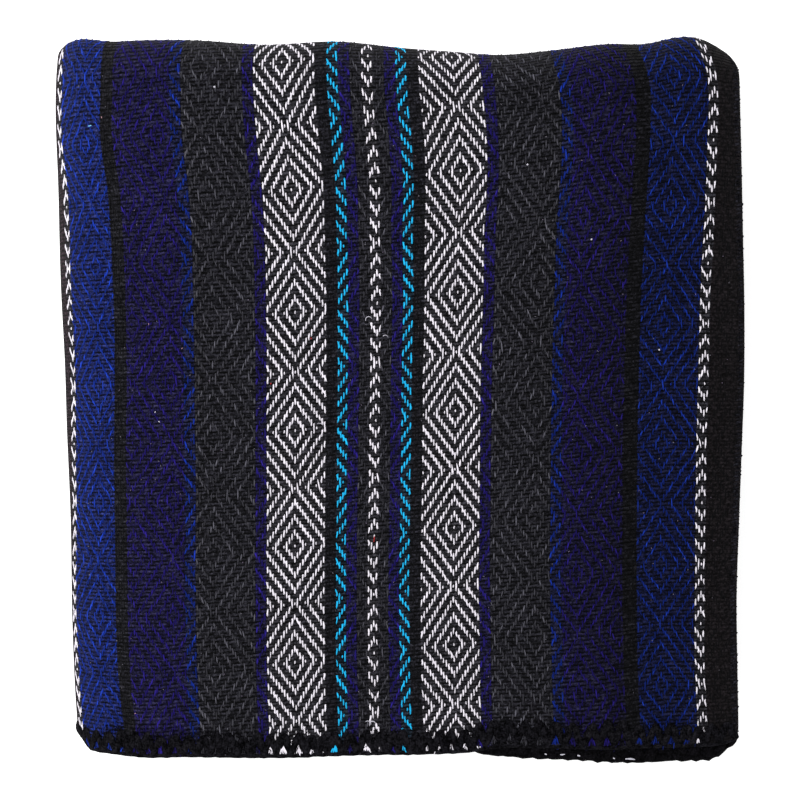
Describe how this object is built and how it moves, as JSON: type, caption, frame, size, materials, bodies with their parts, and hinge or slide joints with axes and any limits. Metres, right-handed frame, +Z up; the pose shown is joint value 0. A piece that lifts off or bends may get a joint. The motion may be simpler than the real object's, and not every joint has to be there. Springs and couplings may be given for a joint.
{
  "type": "folded blanket",
  "caption": "A heavy woven striped throw blanket, folded in quarters along its length and in three across its width, lying flat with its sewn hem to the front.",
  "frame": {"origin": "centre of the bounding box in X and Y, on the surface that the blanket lies on", "axes": "+Y runs along the stripes from the front hem to the big fold at the back, +X runs across the stripes from the big left fold to the open selvedges, +Z is up"},
  "size_m": [0.4438, 0.4668, 0.0739],
  "materials": {
    "blanket": "soft matte woven acrylic, dark charcoal with coloured warp stripes"
  },
  "bodies": {
    "root": {"blanket": "blanket"}
  },
  "joints": []
}
